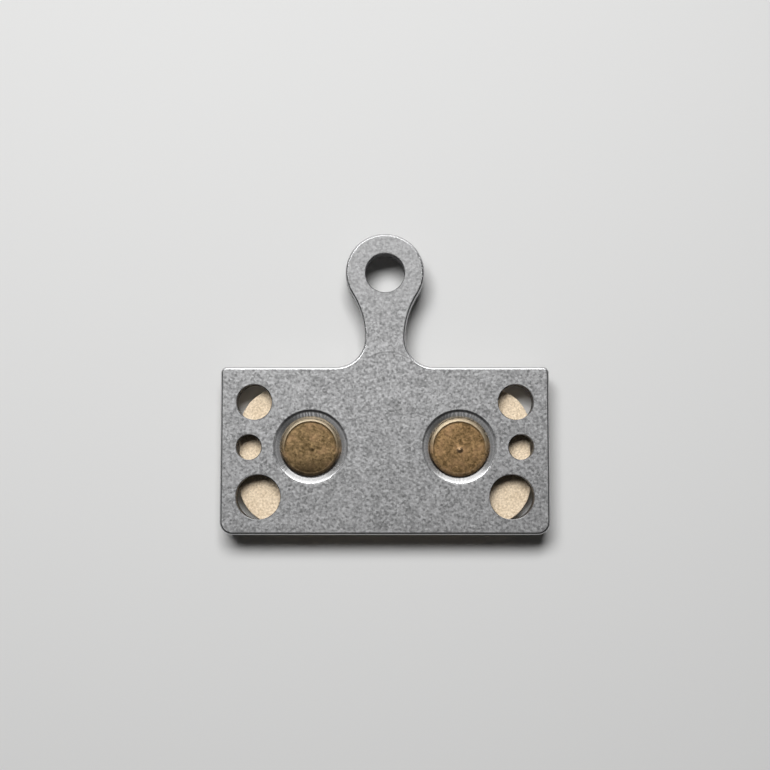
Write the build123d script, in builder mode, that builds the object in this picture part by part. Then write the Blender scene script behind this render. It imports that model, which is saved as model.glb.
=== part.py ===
# Bicycle disc brake pad: a sintered friction block riveted to a blanked metal backing plate.
# Millimetres. The pad lies on its friction face: +Z up, +X along its width, +Y towards the hanging tab.
# The origin is the middle of the friction face.
import os
from math import cos, radians, sin, tan

from build123d import *

os.makedirs("parts", exist_ok=True)

# Backing plate, with the rounded outer edge and broken hole rims that blanking leaves on its back face
plate_width = 33.0
plate_height = 16.8
plate_thickness = 2.0
plate_upper_corner_radius = 0.6
plate_lower_corner_radius = 1.3
edge_roll_radius = 0.25
rim_break = 0.06

# Hanging tab: an eyelet on a waisted neck, measured up from the plate's upper edge
eyelet_diameter = 8.0
axle_hole_diameter = 4.0
eyelet_rise = 9.6
neck_width = 4.1
neck_root_radius = 2.9

# Lightening holes, three a side, set in from the plate's edges
upper_vent_diameter = 3.56
middle_vent_diameter = 2.54
lower_vent_diameter = 4.47
vent_side_margin = 1.58
vent_upper_margin = 1.76
vent_lower_margin = 1.52

# Friction block, set in from the plate's edges
friction_thickness = 2.0
friction_side_margin = 1.7
friction_upper_margin = 2.0
friction_lower_margin = 0.95
friction_corner_radius = 4.2
friction_edge_break = 0.2

# Rivets: a flange sunk in the block, a shank through the plate and a set head in a countersunk seat
rivet_shank_diameter = 5.2
rivet_flange_lip = 1.1
rivet_flange_thickness = 0.6
rivet_clearance = 0.02
seat_angle = 100.0
seat_ring_width = 0.71
seat_mouth_break = 0.1
seat_web = 1.26
head_lip = 0.35
head_side_height = 0.05
head_edge_width = 0.38
head_edge_height = 0.26
head_edge_flats = [30.0, 60.0]
head_rim_width = 0.04
head_dish_depth = 0.03
centre_pip_diameter = 0.55
centre_pip_height = 0.14

# Heights above the friction face
block_back = friction_thickness
plate_back = block_back + plate_thickness

# Friction block's size, and the plate's edges about its middle
friction_width = plate_width - 2 * friction_side_margin
friction_height = plate_height - friction_upper_margin - friction_lower_margin
plate_lower_edge = -friction_height / 2 - friction_lower_margin
plate_upper_edge = plate_lower_edge + plate_height
plate_side = plate_width / 2

# Tab outline: the root arc and the flare arc meet at the waist, and the flare runs into the eyelet's circle
eyelet_radius = eyelet_diameter / 2
eyelet_middle = plate_upper_edge + eyelet_rise
eyelet_top = eyelet_middle + eyelet_radius
neck_half = neck_width / 2
root_foot = neck_half + neck_root_radius
waist_height = plate_upper_edge + neck_root_radius
waist_drop = eyelet_middle - waist_height
flare_radius = (neck_half**2 + waist_drop**2 - eyelet_radius**2) / (2 * (eyelet_radius - neck_half))
flare_share = eyelet_radius / (eyelet_radius + flare_radius)
flare_end = (flare_share * (neck_half + flare_radius), eyelet_middle - flare_share * waist_drop)

# Lightening holes as diameter and height, with equal webs above and below the middle ones
upper_vent_foot = plate_upper_edge - vent_upper_margin - upper_vent_diameter
lower_vent_head = plate_lower_edge + vent_lower_margin + lower_vent_diameter
middle_line = (upper_vent_foot + lower_vent_head) / 2
vents = [
    (upper_vent_diameter, upper_vent_foot + upper_vent_diameter / 2),
    (middle_vent_diameter, middle_line),
    (lower_vent_diameter, lower_vent_head - lower_vent_diameter / 2),
]

# Rivet radii and heights, and the seats' places beside the middle lightening holes
seat_slope = tan(radians(seat_angle / 2))
shank_radius = rivet_shank_diameter / 2
rivet_hole_radius = shank_radius + rivet_clearance
flange_radius = shank_radius + rivet_flange_lip
flange_foot = block_back - rivet_flange_thickness
head_radius = shank_radius + head_lip
seat_radius = head_radius + seat_ring_width
head_seat = plate_back - seat_ring_width / seat_slope
head_root = plate_back - (seat_radius - shank_radius) / seat_slope
head_shoulder = head_seat + head_side_height
head_crest = head_shoulder + head_edge_height
crest_outer = head_radius - head_edge_width
crest_inner = crest_outer - head_rim_width
edge_points = [
    (crest_outer + head_edge_width * cos(radians(turn)), head_shoulder + head_edge_height * sin(radians(turn)))
    for turn in head_edge_flats
]
dish_radius = crest_inner - head_dish_depth
dish_floor = head_crest - head_dish_depth
pip_radius = centre_pip_diameter / 2
pip_tip = dish_floor + centre_pip_height
rivet_offset = plate_side - vent_side_margin - middle_vent_diameter - seat_web - seat_radius
rivet_spots = [(-rivet_offset, middle_line), (rivet_offset, middle_line)]

# Backing plate: one outline blanked from sheet, then pierced and countersunk from the back
back_plane = Plane.XY.offset(plate_back)
with BuildPart(back_plane) as backing_plate:
    with BuildSketch(back_plane) as blank:
        with BuildLine():
            Line((0, plate_lower_edge), (plate_side, plate_lower_edge))
            Line((plate_side, plate_lower_edge), (plate_side, plate_upper_edge))
            Line((plate_side, plate_upper_edge), (root_foot, plate_upper_edge))
            root = TangentArc((root_foot, plate_upper_edge), (neck_half, waist_height), tangent=(-1, 0))
            flare = TangentArc(root @ 1, flare_end, tangent=root % 1)
            TangentArc(flare @ 1, (0, eyelet_top), tangent=flare % 1)
            mirror(about=Plane.YZ)
        make_face()
        sides = blank.vertices().group_by(Axis.X)
        fillet([side.sort_by(Axis.Y)[0] for side in (sides[0], sides[-1])], plate_lower_corner_radius)
        sides = blank.vertices().group_by(Axis.X)
        fillet([side.sort_by(Axis.Y)[-1] for side in (sides[0], sides[-1])], plate_upper_corner_radius)
    extrude(amount=-plate_thickness)
    with Locations((0, eyelet_middle)):
        Hole(axle_hole_diameter / 2)
    for diameter, height in vents:
        vent_offset = plate_side - vent_side_margin - diameter / 2
        with Locations((-vent_offset, height), (vent_offset, height)):
            Hole(diameter / 2)
    back_face = backing_plate.faces().sort_by(Axis.Z)[-1]
    fillet(back_face.outer_wire().edges(), edge_roll_radius)
    back_face = backing_plate.faces().sort_by(Axis.Z)[-1]
    chamfer([wire.edge() for wire in back_face.inner_wires()], rim_break)
    with Locations(rivet_spots):
        CounterSinkHole(rivet_hole_radius, seat_radius, counter_sink_angle=seat_angle)
    back_face = backing_plate.faces().sort_by(Axis.Z)[-1]
    seat_mouths = back_face.inner_wires().sort_by(SortBy.LENGTH)[-len(rivet_spots) :]
    chamfer([wire.edge() for wire in seat_mouths], seat_mouth_break)
backing_plate.part.label = "backing_plate"
export_step(backing_plate.part, "parts/backing_plate.step")

# Friction block: pressed and sintered, its back pocketed for the rivets' flanges
with BuildPart() as friction_pad:
    with BuildSketch():
        RectangleRounded(friction_width, friction_height, friction_corner_radius)
    extrude(amount=friction_thickness)
    chamfer(friction_pad.faces().sort_by(Axis.Z)[0].edges(), friction_edge_break)
    with BuildSketch(Plane.XY.offset(block_back)):
        with Locations(rivet_spots):
            Circle(flange_radius + rivet_clearance)
    extrude(amount=-rivet_flange_thickness, mode=Mode.SUBTRACT)
friction_pad.part.label = "friction_pad"
export_step(friction_pad.part, "parts/friction_pad.step")

# Rivets: one turned profile each, with a head edge rounded in flats, the setting punch's dish and a centre pip
for rivet_name, (rivet_x, rivet_y) in zip(["left_rivet", "right_rivet"], rivet_spots):
    with BuildPart() as rivet:
        with BuildSketch(Plane(origin=(rivet_x, rivet_y, 0), x_dir=(1, 0, 0), z_dir=(0, -1, 0))):
            with BuildLine():
                Polyline(
                    (0, flange_foot),
                    (flange_radius, flange_foot),
                    (flange_radius, block_back),
                    (shank_radius, block_back),
                    (shank_radius, head_root),
                    (head_radius, head_seat),
                    (head_radius, head_shoulder),
                    *edge_points,
                    (crest_outer, head_crest),
                    (crest_inner, head_crest),
                    (dish_radius, dish_floor),
                    (pip_radius, dish_floor),
                    (0, pip_tip),
                    close=True,
                )
            make_face()
        revolve(axis=Axis((rivet_x, rivet_y, 0), (0, 0, 1)))
    rivet.part.label = rivet_name
    export_step(rivet.part, f"parts/{rivet_name}.step")
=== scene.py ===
import math
import bpy
import bmesh
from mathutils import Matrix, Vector, noise


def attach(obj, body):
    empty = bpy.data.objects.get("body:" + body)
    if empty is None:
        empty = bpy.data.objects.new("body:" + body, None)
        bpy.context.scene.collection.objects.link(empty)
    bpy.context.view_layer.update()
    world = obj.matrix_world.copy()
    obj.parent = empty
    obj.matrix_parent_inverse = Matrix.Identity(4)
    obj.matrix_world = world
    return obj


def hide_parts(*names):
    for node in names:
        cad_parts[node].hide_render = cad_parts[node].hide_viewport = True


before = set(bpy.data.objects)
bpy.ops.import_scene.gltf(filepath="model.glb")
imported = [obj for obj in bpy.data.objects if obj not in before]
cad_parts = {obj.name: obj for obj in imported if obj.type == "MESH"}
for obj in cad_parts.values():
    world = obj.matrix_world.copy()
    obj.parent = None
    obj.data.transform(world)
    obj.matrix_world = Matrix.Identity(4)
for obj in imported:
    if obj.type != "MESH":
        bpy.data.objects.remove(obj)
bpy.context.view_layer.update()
scene = bpy.context.scene
mm = 0.001
white = (1.0, 1.0, 1.0)
noiseSpan = (0.3, 0.7)  # a noise texture seldom leaves this


def intoScene(name, data):
    made = bpy.data.objects.new(name, data)
    scene.collection.objects.link(made)
    return made


# shorthands for wiring materials

def bareTree(holder):
    holder.use_nodes = True
    holder.node_tree.nodes.clear()
    return holder.node_tree


def paint(colour):
    return (*colour, 1.0) if isinstance(colour, tuple) else colour


def put(tree, kind, wires=None, **settings):
    made = tree.nodes.new("ShaderNode" + kind)
    for name, value in settings.items():
        setattr(made, name, value)
    for socket, source in (wires or {}).items():
        if isinstance(source, bpy.types.NodeSocket):
            tree.links.new(source, made.inputs[socket])
        else:
            made.inputs[socket].default_value = source
    return made


def sums(tree, operation, *terms):
    return put(tree, "Math", dict(enumerate(terms)), operation=operation).outputs[0]


def times(tree, *terms):
    product = terms[0]
    for term in terms[1:]:
        product = sums(tree, "MULTIPLY", product, term)
    return product


def plus(tree, *terms):
    total = terms[0]
    for term in terms[1:]:
        total = sums(tree, "ADD", total, term)
    return total


def minus(tree, value, less):
    return sums(tree, "SUBTRACT", value, less)


def remap(tree, value, fromLow, fromHigh, toLow=0.0, toHigh=1.0):
    wires = {0: value, 1: fromLow, 2: fromHigh, 3: toLow, 4: toHigh}
    return put(tree, "MapRange", wires, clamp=True).outputs[0]


def smooth(tree, value, fromLow, fromHigh):
    wires = {0: value, 1: fromLow, 2: fromHigh}
    return put(tree, "MapRange", wires, interpolation_type="SMOOTHSTEP").outputs[0]


def band(tree, ramp, value, marks):
    inner, lip, rim, outer = marks
    return times(tree, ramp(tree, value, inner, lip), ramp(tree, value, outer, rim))


def offLine(tree, value, middle):
    return sums(tree, "ABSOLUTE", minus(tree, value, middle))


def spread(tree, value, middle, swing):
    return remap(tree, value, *noiseSpan, middle - swing, middle + swing)


def grain(tree, where, scale, detail=2.0, rough=0.5):
    wires = {"Vector": where, "Scale": scale, "Detail": detail, "Roughness": rough}
    return put(tree, "TexNoise", wires).outputs["Fac"]


def stretched(tree, where, factors):
    return put(tree, "VectorMath", {0: where, 1: factors}, operation="MULTIPLY").outputs[0]


def streaks(tree, where, factors, *texture):
    return grain(tree, stretched(tree, where, factors), 1.0, *texture)  # the factors are the scale


def cells(tree, where, scale):
    return put(tree, "TexVoronoi", {"Vector": where, "Scale": scale, "Randomness": 1.0})


def flecks(tree, where, scale):
    tints = cells(tree, where, scale).outputs["Color"]
    return put(tree, "SeparateColor", {0: tints}).outputs[0]  # one chance value a fleck


def pits(tree, where, scale):
    return cells(tree, where, scale).outputs["Distance"]


def blend(tree, share, under, over):
    wires = {0: share, 6: paint(under), 7: paint(over)}  # Mix keeps colours in 6 and 7
    return put(tree, "Mix", wires, data_type="RGBA").outputs[2]


def lerp(tree, share, under, over):
    return put(tree, "Mix", {0: share, 2: under, 3: over}, data_type="FLOAT").outputs[0]


def axes(tree, vector):
    return put(tree, "SeparateXYZ", {0: vector}).outputs


def aboutAxis(tree, x, y, spot):
    across, along = minus(tree, x, spot[0]), minus(tree, y, spot[1])
    arm = put(tree, "CombineXYZ", {0: across, 1: along}).outputs[0]
    reach = put(tree, "VectorMath", {0: arm}, operation="LENGTH").outputs["Value"]
    return across, along, reach


def newFinish(name):
    finish = bpy.data.materials.new(name)
    tree = bareTree(finish)
    coords = put(tree, "TexCoord")
    shader = put(tree, "BsdfPrincipled")
    output = put(tree, "OutputMaterial")
    tree.links.new(shader.outputs[0], output.inputs[0])
    return finish, tree, shader, coords.outputs["Object"], coords.outputs["Normal"]


def wire(tree, shader, colour, roughness, height):
    bump = put(tree, "Bump", {"Height": height, "Strength": 1.0, "Distance": 1.0})  # heights in metres
    tree.links.new(colour, shader.inputs["Base Color"])
    tree.links.new(roughness, shader.inputs["Roughness"])
    tree.links.new(bump.outputs[0], shader.inputs["Normal"])


# backing plate: blasted faces, burnished edge, sheared walls, cut rivet seats
plateLook = {
    "faceDark": (0.113, 0.113, 0.113), "faceLight": (0.341, 0.341, 0.343),
    "heatTone": (0.060, 0.057, 0.054), "heatTake": (0.9, 0.1),
    "edgeTone": (0.52, 0.52, 0.525), "edgeTake": 0.85,
    "wallTone": (0.15, 0.15, 0.152), "wallTake": 0.85, "boreShadeTone": (0.025, 0.025, 0.026),
    "faceSlope": (0.985, 0.999), "frontSlope": (-0.9, -0.99), "wallSlope": (0.3, 0.1),
    "faceRough": (0.60, 0.06), "edgeRough": 0.27, "wallRough": (0.5, 0.09), "seatRough": (0.26, 0.03),
    # painted shade along the lower rolled edge, which faces away from the light
    "rollShadeTone": (0.08, 0.08, 0.081), "rollShadeTake": 0.6,
    "rollSlope": (0.64, 0.74, 0.93, 0.98), "rollFacing": (-0.05, -0.3),
    # grain of the blasting, calmer and a little darker on the eyelet
    "blastScale": 3500.0, "fleckScale": 4600.0, "crispScale": 8000.0, "cloudScale": 700.0,
    "blastShare": 0.55, "fleckShare": 0.25, "crispShare": 0.2,
    "speckFrom": (0.3, 0.7), "cloudSwing": 0.08, "blastHeight": 0.02 * mm, "edgeShare": 0.12,
    "middleShare": 0.5, "calmShare": 0.46, "calm": 0.55, "calmFrom": (11.0 * mm, 17.0 * mm),
    # rivet seats, about the nearer rivet's axis
    "seatSpot": (7.46 * mm, 0.86 * mm), "cutLean": 0.011,
    "seatEdge": (3.62 * mm, 3.56 * mm), "seatMouth": (3.86 * mm, 3.81 * mm),
    "seatTone": (0.64, 0.64, 0.645), "seatTake": 0.92,
    "dullTone": (0.47, 0.47, 0.473), "dullRing": 3.27 * mm, "dullFade": (0.04 * mm, 0.22 * mm),
    "mouthRound": 0.010 * mm, "mouthBand": (3.48 * mm, 3.62 * mm, 3.70 * mm, 3.82 * mm),
    # painted shade on the upper mouth of each seat, on the tab side
    "mouthShadeTone": (0.03, 0.03, 0.03), "mouthShadeTake": 0.8, "shadeFrom": (0.9 * mm, 2.9 * mm),
    "mouthShadeBand": (3.44 * mm, 3.58 * mm, 3.73 * mm, 3.80 * mm),
    # the cutter's chatter in the seats
    "chatterCount": 62.0, "chatterHeight": 0.002 * mm, "chatterScale": 900.0, "chatterFrom": (0.45, 0.6),
    "driftScale": 900.0, "drift": 16.0,
    "upperFrom": (2.85 * mm, 3.25 * mm), "upperTicks": 0.75, "looseTicks": 0.2, "tickFrom": 0.1,
    "tickDark": (0.24, 0.24, 0.243), "darkTake": 0.5, "tickPale": (0.95, 0.95, 0.955), "paleTake": 1.0,
    # holes as x, y and radius in mm, and the shear marks on walls
    "holes": [(13.14, 5.385, 1.78), (13.65, 0.86, 1.27), (12.685, -4.12, 2.235), (0.0, 18.525, 2.0)],
    "holeFade": (0.04 * mm, 0.01 * mm),
    "shearScale": (5200.0, 5200.0, 260.0), "shearTexture": (3.0, 0.6), "shearHeight": 0.006 * mm,
    # a faint press mark at the foot of the neck
    "arcMiddle": (0.3 * mm, 6.92 * mm), "arcRadius": 3.52 * mm, "arcFade": (0.10 * mm, 0.03 * mm),
    "arcFoot": (9.7 * mm, 9.95 * mm), "arcTone": (0.06, 0.06, 0.06), "arcShade": 0.5,
}


def arcMark(tree, x, y, look):
    reach = aboutAxis(tree, x, y, look["arcMiddle"])[2]
    away = offLine(tree, reach, look["arcRadius"])
    line = remap(tree, away, *look["arcFade"], 0.0, look["arcShade"])
    return times(tree, line, remap(tree, y, *look["arcFoot"]))


def insideHoles(tree, aside, y, look):
    gap = None
    for holeX, holeY, radius in look["holes"]:
        reach = aboutAxis(tree, aside, y, (holeX * mm, holeY * mm))[2]
        beyond = minus(tree, reach, radius * mm)
        gap = beyond if gap is None else sums(tree, "MINIMUM", gap, beyond)
    return remap(tree, gap, *look["holeFade"])


def blastedTitanium(look):
    finish, tree, shader, place, normal = newFinish("blastedTitanium")
    shader.inputs["Metallic"].default_value = 1.0
    spot, facing = axes(tree, place), axes(tree, normal)
    x, y = spot["X"], spot["Y"]
    aside = sums(tree, "ABSOLUTE", x)  # the plate is its own mirror image
    across, along, reach = aboutAxis(tree, aside, y, look["seatSpot"])

    # which part of the plate a point lies on
    steep = sums(tree, "ABSOLUTE", facing["Z"])
    isFront = remap(tree, facing["Z"], *look["frontSlope"])  # the side that went through the sintering heat
    isWall = remap(tree, steep, *look["wallSlope"])
    isSeat = remap(tree, plus(tree, reach, times(tree, along, look["cutLean"])), *look["seatEdge"])
    notSeat = minus(tree, 1.0, isSeat)
    isMouth = times(tree, notSeat, remap(tree, reach, *look["seatMouth"]))
    isFlat = remap(tree, steep, *look["faceSlope"])
    isFace = sums(tree, "MAXIMUM", isFlat, isMouth)  # the mouth is blasted too
    notFace = minus(tree, 1.0, isFace)
    isLower = remap(tree, facing["Y"], *look["rollFacing"])
    isShadedRoll = times(tree, notFace, notSeat, band(tree, remap, steep, look["rollSlope"]), isLower)
    isUpper = remap(tree, along, *look["shadeFrom"])
    isShaded = times(tree, band(tree, remap, reach, look["mouthShadeBand"]), isUpper)

    blast = grain(tree, place, look["blastScale"])
    fleck = flecks(tree, place, look["fleckScale"])
    crisp = grain(tree, place, look["crispScale"])
    cloud = grain(tree, place, look["cloudScale"])
    shear = streaks(tree, place, look["shearScale"], *look["shearTexture"])

    # chatter runs round the seat and shows most on the tab side
    turn = sums(tree, "ARCTAN2", along, across)
    drift = times(tree, grain(tree, place, look["driftScale"]), look["drift"])
    chatter = sums(tree, "SINE", plus(tree, times(tree, turn, look["chatterCount"]), drift))
    loose = remap(tree, grain(tree, place, look["chatterScale"]), *look["chatterFrom"])
    upper = remap(tree, along, *look["upperFrom"])
    ticks = plus(tree, times(tree, upper, look["upperTicks"]), times(tree, loose, look["looseTicks"]))
    dips = remap(tree, chatter, look["tickFrom"], 1.0, 0.0, look["darkTake"])
    crests = remap(tree, chatter, -look["tickFrom"], -1.0, 0.0, look["paleTake"])

    # specks of the blasting, from dark to light
    speck = plus(tree, times(tree, blast, look["blastShare"]), times(tree, fleck, look["fleckShare"]),
                 times(tree, crisp, look["crispShare"]))
    patches = spread(tree, cloud, 0.0, look["cloudSwing"])
    share = plus(tree, remap(tree, speck, *look["speckFrom"]), patches)
    calm = remap(tree, y, *look["calmFrom"], 1.0, look["calm"])
    middle = remap(tree, y, *look["calmFrom"], look["middleShare"], look["calmShare"])
    share = plus(tree, times(tree, minus(tree, share, look["middleShare"]), calm), middle)

    colour = blend(tree, share, look["faceDark"], look["faceLight"])
    colour = blend(tree, arcMark(tree, x, y, look), colour, look["arcTone"])
    heat = times(tree, isFront, spread(tree, cloud, *look["heatTake"]))
    colour = blend(tree, heat, colour, look["heatTone"])
    colour = blend(tree, times(tree, notFace, look["edgeTake"]), colour, look["edgeTone"])
    # painted shade: the lower rolled edge, turned away from the light, is darkened in colour
    colour = blend(tree, times(tree, isShadedRoll, look["rollShadeTake"]), colour, look["rollShadeTone"])
    # the walls inside the holes are the sheared walls' dark grey pushed to nearly black as painted shade,
    # deepening the shade in the holes
    wall = blend(tree, insideHoles(tree, aside, y, look), look["wallTone"], look["boreShadeTone"])
    colour = blend(tree, times(tree, isWall, look["wallTake"]), colour, wall)
    dull = smooth(tree, offLine(tree, reach, look["dullRing"]), *look["dullFade"])
    cut = blend(tree, dull, look["dullTone"], look["seatTone"])
    colour = blend(tree, times(tree, isSeat, look["seatTake"]), colour, cut)
    colour = blend(tree, times(tree, isSeat, ticks, dips), colour, look["tickDark"])
    colour = blend(tree, times(tree, isSeat, ticks, crests), colour, look["tickPale"])
    # painted shade on the upper mouth of the seat, which faces away from the light
    colour = blend(tree, times(tree, isShaded, look["mouthShadeTake"]), colour, look["mouthShadeTone"])

    rough = lerp(tree, isFace, look["edgeRough"], spread(tree, crisp, *look["faceRough"]))
    rough = lerp(tree, isWall, rough, spread(tree, shear, *look["wallRough"]))
    rough = lerp(tree, isSeat, rough, spread(tree, cloud, *look["seatRough"]))

    blastDeep = lerp(tree, isFace, look["edgeShare"] * look["blastHeight"], look["blastHeight"])
    height = lerp(tree, isWall, times(tree, blast, blastDeep), times(tree, shear, look["shearHeight"]))
    height = lerp(tree, isSeat, height, times(tree, chatter, loose, look["chatterHeight"]))
    rubbed = band(tree, smooth, reach, look["mouthBand"])  # the seat's mouth is rubbed round
    height = minus(tree, height, times(tree, rubbed, look["mouthRound"]))
    wire(tree, shader, colour, rough, height)
    return finish


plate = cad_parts["backing_plate"]
plate.data.materials[0] = blastedTitanium(plateLook)
print("backing plate finished, faces:", len(plate.data.polygons))


# friction block: pressed powder, so its skin is granular all over
blockLook = {
    "voxel": 0.13 * mm, "weld": 0.0005 * mm,
    "grainDepth": 0.035 * mm, "grainScale": 4200.0, "finerScale": 9700.0, "grainShares": (0.5, 0.36, 0.2),
    "creamDark": (0.58, 0.442, 0.288), "creamLight": (0.97, 0.826, 0.634),
    "powderScale": 4500.0, "powderTexture": (4.0, 0.65), "powderFrom": (0.33, 0.64),
    "cloudScale": 900.0, "cloudSwing": 0.1,
    "fleckScale": 6500.0, "fleckTexture": (1.0, 0.4), "fleckFrom": (0.68, 0.74),
    "fleckTone": (0.80, 0.62, 0.38), "fleckTake": 0.5,
    "poreScale": 2300.0, "poreFrom": (0.16, 0.04),
    "poreTone": (0.30, 0.22, 0.14), "poreTake": 0.5, "poreDeep": 0.6,
    # the face that meets the rotor is ground
    "wornTone": (0.42, 0.35, 0.27), "wornTake": (0.55, 0.2), "wornSlope": (-0.7, -0.95), "wornRough": 0.5,
    "grindScale": (300.0, 9000.0, 300.0), "grindTexture": (2.0, 0.5), "grindHeight": 0.008 * mm,
    "metal": 0.15, "rough": (0.78, 0.09), "bumpHeight": 0.018 * mm,
}


def sinteredMetal(look):
    finish, tree, shader, place, normal = newFinish("sinteredMetal")
    shader.inputs["Metallic"].default_value = look["metal"]
    isWorn = remap(tree, axes(tree, normal)["Z"], *look["wornSlope"])
    powder = grain(tree, place, look["powderScale"], *look["powderTexture"])
    cloud = grain(tree, place, look["cloudScale"])
    pore = remap(tree, pits(tree, place, look["poreScale"]), *look["poreFrom"])
    fleck = grain(tree, place, look["fleckScale"], *look["fleckTexture"])
    fleck = remap(tree, fleck, *look["fleckFrom"])
    grind = streaks(tree, place, look["grindScale"], *look["grindTexture"])
    patches = spread(tree, cloud, 0.0, look["cloudSwing"])
    share = plus(tree, remap(tree, powder, *look["powderFrom"]), patches)
    colour = blend(tree, share, look["creamDark"], look["creamLight"])
    colour = blend(tree, times(tree, fleck, look["fleckTake"]), colour, look["fleckTone"])
    colour = blend(tree, times(tree, pore, look["poreTake"]), colour, look["poreTone"])
    worn = times(tree, isWorn, spread(tree, grind, *look["wornTake"]))
    colour = blend(tree, worn, colour, look["wornTone"])
    rough = lerp(tree, isWorn, spread(tree, powder, *look["rough"]), look["wornRough"])
    deep = times(tree, minus(tree, powder, times(tree, pore, look["poreDeep"])), look["bumpHeight"])
    groove = times(tree, grind, look["grindHeight"])
    wire(tree, shader, colour, rough, lerp(tree, isWorn, deep, groove))
    return finish


def pressedBlock(look):
    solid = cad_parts["friction_pad"]
    skin = solid.data.copy()
    body = bmesh.new()
    body.from_mesh(skin)
    bmesh.ops.remove_doubles(body, verts=body.verts, dist=look["weld"])
    body.to_mesh(skin)
    body.free()
    block = intoScene("frictionBlock", skin)
    remesh = block.modifiers.new("powder", "REMESH")
    remesh.mode = "VOXEL"
    remesh.voxel_size = look["voxel"]
    wrap = block.modifiers.new("form", "SHRINKWRAP")
    wrap.target = solid
    wrap.wrap_method = "NEAREST_SURFACEPOINT"
    made = block.evaluated_get(bpy.context.evaluated_depsgraph_get())
    fine = bpy.data.meshes.new_from_object(made)
    block.modifiers.clear()
    block.data = fine
    fine.materials.clear()
    # grains sink below the pressed surface and never stand above it
    even, coarse, finer = look["grainShares"]
    sunk = []
    for v in fine.vertices:
        depth = even + coarse * noise.noise(v.co * look["grainScale"])
        depth += finer * noise.noise(v.co * look["finerScale"])
        sunk.append(v.co - v.normal * look["grainDepth"] * min(1.0, max(0.0, depth)))
    for v, co in zip(fine.vertices, sunk):
        v.co = co
    fine.shade_smooth()
    fine.materials.append(sinteredMetal(look))
    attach(block, "root")
    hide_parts("friction_pad")
    return block


block = pressedBlock(blockLook)
print("friction block pressed, faces:", len(block.data.polygons))


# rivets: turned profile, mm from the axis and above the friction face
rivetLook = {
    "sides": 160, "axisY": 0.86, "sharpFrom": math.radians(50),
    "stem": [(0.0, 1.4), (3.66, 1.4), (3.7, 1.44), (3.7, 1.96), (3.66, 2.0),
             (2.6, 2.0), (2.6, 3.11), (2.95, 3.404)],
    "edgeFrom": (2.645, 3.504), "edgeSize": (0.305, 0.21), "edgeSteps": 10,
    "lip": [(2.635, 3.713), (2.62, 3.705), (2.585, 3.678), (2.555, 3.655), (2.53, 3.648)],
    "dishFloor": 3.648, "dishStep": 0.07,
    "pip": [(0.40, 3.648), (0.35, 3.655), (0.26, 3.695), (0.16, 3.744), (0.07, 3.776)], "pipTip": 3.782,
    # unevenness of a head set by hand
    "domeDrop": 0.05, "domeSpan": 2.6, "domePower": 4,
    "handDepth": 0.012, "handScale": 2.6, "wobble": 0.012, "wobbleScale": 2.2,
    # brown metal, speckled
    "brownDark": (0.085, 0.057, 0.026), "brownLight": (0.44, 0.30, 0.155),
    "mottleScale": 3200.0, "mottleTexture": (3.0, 0.6),
    "fleckScale": 5600.0, "crispScale": 8000.0, "cloudScale": 850.0,
    "mottleShare": 0.55, "crispShare": 0.25, "fleckShare": 0.2,
    "speckFrom": (0.24, 0.76), "paleBias": 1.7, "cloudSwing": (0.02, 0.15),
    "rosy": (0.26, 0.155, 0.09), "rosyFrom": (0.5, 0.7), "rosyTake": 0.35,
    "rough": (0.6, 0.09), "bumpHeight": 0.02 * mm, "shine": 0.5,
    # painted highlight: a paler, smoother tone on the tab side of its rim, where the light falls; burnished
    # on its pip
    "rimFrom": (2.58, 2.64), "litFrom": (-0.6, 1.6), "rimHighlight": (0.235, 0.197, 0.14), "rimTake": 0.85,
    "rimRough": 0.46, "rimMetal": 0.8, "rimShare": 0.15,
    "pipFrom": (0.36, 0.26), "pipTone": (0.255, 0.172, 0.10),
    # darker towards the side away from the tab, painted shade on the shoulder on that side, and painted
    # shade in the corner inside the rim on the tab side
    "darkTone": (0.030, 0.021, 0.011), "darkeningTake": (0.8, 0.2), "darkeningFrom": (-0.6, -2.4),
    "sideShadeTone": (0.022, 0.016, 0.01), "shadeFrom": (-0.3, -1.5), "shadeSlope": (0.96, 0.86),
    "shadeMetal": 0.1, "shadeShine": 0.05,
    "cornerRing": 2.5, "cornerFade": (0.11, 0.03), "cornerFrom": (-0.8, 0.8), "cornerTake": (0.4, 0.3),
}

# what differs from one set head to the other
rivetPair = {
    "leftRivet": {
        "node": "left_rivet", "axisX": -7.46, "slip": (-0.03, 0.0), "swell": -0.04, "lean": 0.4,
        "pip": 0.5, "pipStray": (0.15, -0.1), "pipShine": 0.0, "tone": (0.77, 0.77, 0.77), "darkening": 1.0,
    },
    "rightRivet": {
        "node": "right_rivet", "axisX": 7.46, "slip": (0.0, -0.03), "swell": 0.03, "lean": 0.15,
        "pip": 1.12, "pipStray": (0.04, -0.25), "pipShine": 1.0, "tone": (0.85, 0.80, 0.757), "darkening": 0.3,
    },
}


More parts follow.
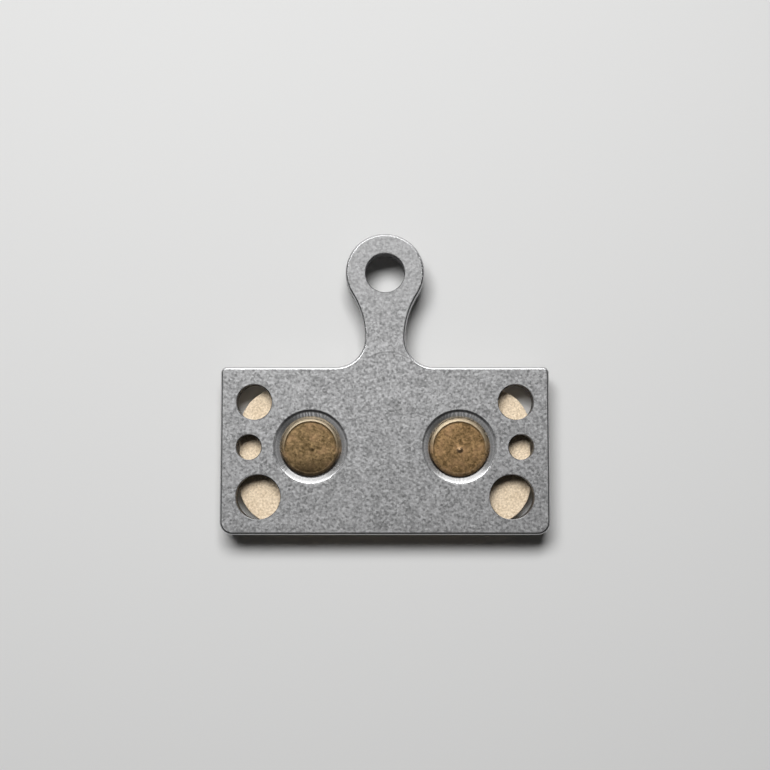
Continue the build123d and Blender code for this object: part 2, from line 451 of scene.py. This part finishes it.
def brownBronze(name, look, own):
    finish, tree, shader, place, normal = newFinish("brownBronze." + name)
    steep = sums(tree, "ABSOLUTE", axes(tree, normal)["Z"])
    inMm = axes(tree, stretched(tree, place, (1.0 / mm, 1.0 / mm, 1.0 / mm)))
    spot = (own["axisX"] + own["slip"][0], look["axisY"] + own["slip"][1])
    pipSpot = tuple(middle + stray for middle, stray in zip(spot, own["pipStray"]))
    reach = aboutAxis(tree, inMm["X"], inMm["Y"], spot)[2]
    fromPip = aboutAxis(tree, inMm["X"], inMm["Y"], pipSpot)[2]
    along = minus(tree, inMm["Y"], look["axisY"])

    isEdge = remap(tree, reach, *look["rimFrom"])
    isPip = remap(tree, fromPip, *look["pipFrom"], 0.0, own["pipShine"])
    isLitRim = times(tree, isEdge, remap(tree, along, *look["litFrom"]))
    isRubbed = sums(tree, "MAXIMUM", isLitRim, isPip)
    isShaded = times(tree, remap(tree, steep, *look["shadeSlope"]), remap(tree, along, *look["shadeFrom"]))
    isShadedCorner = times(tree, remap(tree, offLine(tree, reach, look["cornerRing"]), *look["cornerFade"]),
                     remap(tree, along, *look["cornerFrom"]))

    mottle = grain(tree, place, look["mottleScale"], *look["mottleTexture"])
    fleck = flecks(tree, place, look["fleckScale"])
    crisp = grain(tree, place, look["crispScale"])
    cloud = grain(tree, place, look["cloudScale"])
    speck = plus(tree, times(tree, mottle, look["mottleShare"]), times(tree, crisp, look["crispShare"]),
                 times(tree, fleck, look["fleckShare"]))
    share = sums(tree, "POWER", remap(tree, speck, *look["speckFrom"]), look["paleBias"])
    share = plus(tree, share, spread(tree, cloud, *look["cloudSwing"]))
    rosy = remap(tree, cloud, *look["rosyFrom"], 0.0, look["rosyTake"])
    patchy = spread(tree, cloud, *look["darkeningTake"])
    darkening = times(tree, remap(tree, along, *look["darkeningFrom"]), patchy, own["darkening"])
    cornerShade = times(tree, isShadedCorner, spread(tree, cloud, *look["cornerTake"]))

    dark = tuple(c * t for c, t in zip(look["brownDark"], own["tone"]))
    light = tuple(c * t for c, t in zip(look["brownLight"], own["tone"]))
    colour = blend(tree, share, dark, light)
    colour = blend(tree, rosy, colour, look["rosy"])
    # darker towards the side away from the tab
    colour = blend(tree, darkening, colour, look["darkTone"])
    # painted shade in the corner inside the rim, on the tab side
    colour = blend(tree, cornerShade, colour, look["darkTone"])
    # painted highlight on the tab side of the rim
    colour = blend(tree, times(tree, isLitRim, look["rimTake"]), colour, look["rimHighlight"])
    colour = blend(tree, times(tree, isPip, look["rimTake"]), colour, look["pipTone"])
    # painted shade on the shoulder that faces away from the light; its metal and shine are lowered with it
    colour = blend(tree, isShaded, colour, look["sideShadeTone"])

    metal = lerp(tree, isShaded, lerp(tree, isEdge, 1.0, look["rimMetal"]), look["shadeMetal"])
    tree.links.new(metal, shader.inputs["Metallic"])
    shine = lerp(tree, isShaded, look["shine"], look["shadeShine"])
    tree.links.new(shine, shader.inputs["Specular IOR Level"])
    rough = lerp(tree, isRubbed, spread(tree, crisp, *look["rough"]), look["rimRough"])
    deep = lerp(tree, isRubbed, look["bumpHeight"], look["rimShare"] * look["bumpHeight"])
    wire(tree, shader, colour, rough, times(tree, mottle, deep))
    return finish


def turnedProfile(look):
    profile = list(look["stem"])
    middle, shoulder = look["edgeFrom"]
    width, rise = look["edgeSize"]
    for step in range(look["edgeSteps"] + 1):
        turn = 0.5 * math.pi * step / look["edgeSteps"]
        profile.append((middle + width * math.cos(turn), shoulder + rise * math.sin(turn)))
    profile += look["lip"]
    radius = profile[-1][0] - look["dishStep"]
    while radius > look["pip"][0][0]:
        profile.append((radius, look["dishFloor"]))
        radius -= look["dishStep"]
    return profile + look["pip"] + [(0.0, look["pipTip"])]


def uneven(point):
    return 0.5 + 0.5 * noise.noise(point)  # from 0 to 1


def headPoint(look, own, axis, out, radius, z):
    middle, shoulder = look["edgeFrom"]
    width, rise = look["edgeSize"]
    lip = look["lip"][0][0]
    share = min(1.0, (z - shoulder) / rise)
    wobble = look["wobble"] * uneven(out * look["wobbleScale"] + axis)
    swell = own["swell"] * max(0.0, radius - lip) / (middle + width - lip)
    dent = look["handDepth"] * uneven((axis + out * radius) * look["handScale"])
    away = math.hypot(out.x * radius, out.y * radius - own["lean"]) / look["domeSpan"]
    height = z - share * (dent + look["domeDrop"] * away ** look["domePower"])
    if radius <= look["pip"][0][0]:
        height += (own["pip"] - 1.0) * (z - look["dishFloor"])
    stray = Vector(own["pipStray"]) * max(0.0, 1.0 - radius / lip)  # the pip is off the middle
    return axis + out * (radius - share * wobble + swell) + Vector((*(Vector(own["slip"]) + stray), height))


def setRivet(name, look, own):
    axis = Vector((own["axisX"], look["axisY"], 0.0))
    ways = [2 * math.pi * side / look["sides"] for side in range(look["sides"])]
    body = bmesh.new()
    rows = []
    for radius, z in turnedProfile(look):
        row = []
        for way in ways if radius else [0.0]:
            out = Vector((math.cos(way), math.sin(way), 0.0))
            if z < look["edgeFrom"][1]:
                point = axis + out * radius + Vector((0.0, 0.0, z))
            else:
                point = headPoint(look, own, axis, out, radius, z)
            row.append(body.verts.new(point * mm))
        rows.append(row)
    for lower, upper in zip(rows, rows[1:]):
        for side in range(look["sides"]):
            after = (side + 1) % look["sides"]
            if len(lower) == 1:
                body.faces.new((lower[0], upper[after], upper[side]))
            elif len(upper) == 1:
                body.faces.new((lower[side], lower[after], upper[0]))
            else:
                body.faces.new((lower[side], lower[after], upper[after], upper[side]))
    bmesh.ops.recalc_face_normals(body, faces=body.faces)
    skin = bpy.data.meshes.new(name)
    body.to_mesh(skin)
    body.free()
    skin.shade_smooth()
    skin.set_sharp_from_angle(angle=look["sharpFrom"])
    skin.materials.append(brownBronze(name, look, own))
    rivet = intoScene(name, skin)
    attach(rivet, "root")
    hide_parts(own["node"])
    return rivet


for name, own in rivetPair.items():
    rivet = setRivet(name, rivetLook, own)
    print("rivet set:", rivet.name, "faces:", len(rivet.data.polygons))


# table, lamps and camera
stageLook = {
    "floorTone": (0.73, 0.73, 0.725), "floorSide": 6.0, "floorParts": 8, "floorDrop": 0.02 * mm,
    "floorGlow": 0.82, "glowShare": 0.5, "glowFrom": (0.06, 0.30), "fadeFrom": (0.07, 0.30),
    "fill": 0.03, "skyGlow": 0.03, "wallGlow": 0.43, "wallTop": (0.30, 0.50), "backTone": 0.82,
    "flagWay": (0.7, -0.7, 0.0), "flagFrom": (0.78, 0.95), "flagShade": 0.35,
    "aim": (0.0, 7.0 * mm, 3.0 * mm),
    "keyFrom": (-0.10, 0.39, 0.92), "keyAway": 0.29, "keySize": (0.168, 0.0985), "keyPower": 0.912,
    "cardSpot": (0.0, 0.30, 0.165), "cardSize": (0.62, 0.37), "cardPower": 0.74,
    "lens": 61.4, "sensor": 36.0, "nearest": 0.001, "farthest": 50.0,
    "away": 0.132, "tilt": math.radians(5.0), "lookAt": (0.0, 7.095 * mm, 4.0 * mm),
}


def paleFloor(look):
    parts = look["floorParts"]
    bpy.ops.mesh.primitive_grid_add(x_subdivisions=parts, y_subdivisions=parts, size=look["floorSide"],
                                    location=(0.0, 0.0, -look["floorDrop"]))
    floor = bpy.context.object
    floor.name = "paleFloor"
    finish = bpy.data.materials.new("palePaper")
    tree = bareTree(finish)
    paper = put(tree, "BsdfDiffuse", {"Color": paint(look["floorTone"])})
    glow = put(tree, "Emission", {"Color": paint(white), "Strength": look["floorGlow"]})
    place = put(tree, "TexCoord").outputs["Object"]
    away = put(tree, "VectorMath", {0: place}, operation="LENGTH").outputs["Value"]
    path = put(tree, "LightPath")
    camera = path.outputs["Is Camera Ray"]
    seen = sums(tree, "MAXIMUM", camera, path.outputs["Is Glossy Ray"])
    seen = sums(tree, "MAXIMUM", seen, path.outputs["Is Transmission Ray"])
    paler = times(tree, seen, remap(tree, away, *look["glowFrom"], 0.0, look["glowShare"]))
    fade = times(tree, camera, remap(tree, away, *look["fadeFrom"]))  # no horizon line
    share = sums(tree, "MAXIMUM", paler, fade)
    mixed = put(tree, "MixShader", {0: share, 1: paper.outputs[0], 2: glow.outputs[0]})
    output = put(tree, "OutputMaterial")
    tree.links.new(mixed.outputs[0], output.inputs[0])
    floor.data.materials.append(finish)


def studioAir(look):
    world = bpy.data.worlds.new("studioAir")
    scene.world = world
    tree = bareTree(world)
    path = put(tree, "LightPath")
    way = put(tree, "TexCoord").outputs["Generated"]
    # pale walls under a dark ceiling, with one dark corner
    room = remap(tree, axes(tree, way)["Z"], *look["wallTop"], look["wallGlow"], look["skyGlow"])
    dot = put(tree, "VectorMath", {0: way, 1: look["flagWay"]}, operation="DOT_PRODUCT")
    flag = remap(tree, dot.outputs["Value"], *look["flagFrom"], 1.0, look["flagShade"])
    lit = lerp(tree, path.outputs["Is Glossy Ray"], look["fill"], times(tree, room, flag))
    strength = lerp(tree, path.outputs["Is Camera Ray"], lit, look["backTone"])
    air = put(tree, "Background", {"Color": paint(white), "Strength": strength})
    output = put(tree, "OutputWorld")
    tree.links.new(air.outputs[0], output.inputs[0])


def softbox(name, spot, aim, shape, size, power):
    lamp = bpy.data.lights.new(name, "AREA")
    lamp.shape = shape
    lamp.size, lamp.size_y = size
    lamp.energy = power
    made = intoScene(name, lamp)
    made.location = spot
    made.rotation_euler = (Vector(aim) - Vector(spot)).to_track_quat("-Z", "Y").to_euler()
    return made


def hangLamps(look):
    aim = look["aim"]
    keySpot = Vector(aim) + Vector(look["keyFrom"]).normalized() * look["keyAway"]
    softbox("keySoftbox", keySpot, aim, "RECTANGLE", look["keySize"], look["keyPower"])
    card = softbox("lowCard", look["cardSpot"], aim, "ELLIPSE", look["cardSize"], look["cardPower"])
    card.visible_diffuse = False  # it only shows in the metal


def lookDown(look):
    camera = bpy.data.cameras.new("above")
    camera.lens = look["lens"]
    camera.sensor_width = look["sensor"]
    camera.clip_start = look["nearest"]
    camera.clip_end = look["farthest"]
    made = intoScene("above", camera)
    back = Vector((0.0, -math.sin(look["tilt"]), math.cos(look["tilt"])))
    made.location = Vector(look["lookAt"]) + back * look["away"]
    made.rotation_euler = (look["tilt"], 0.0, 0.0)
    scene.camera = made


paleFloor(stageLook)
studioAir(stageLook)
hangLamps(stageLook)
lookDown(stageLook)
scene.view_settings.view_transform = "Standard"
print("table, lamps and camera ready")
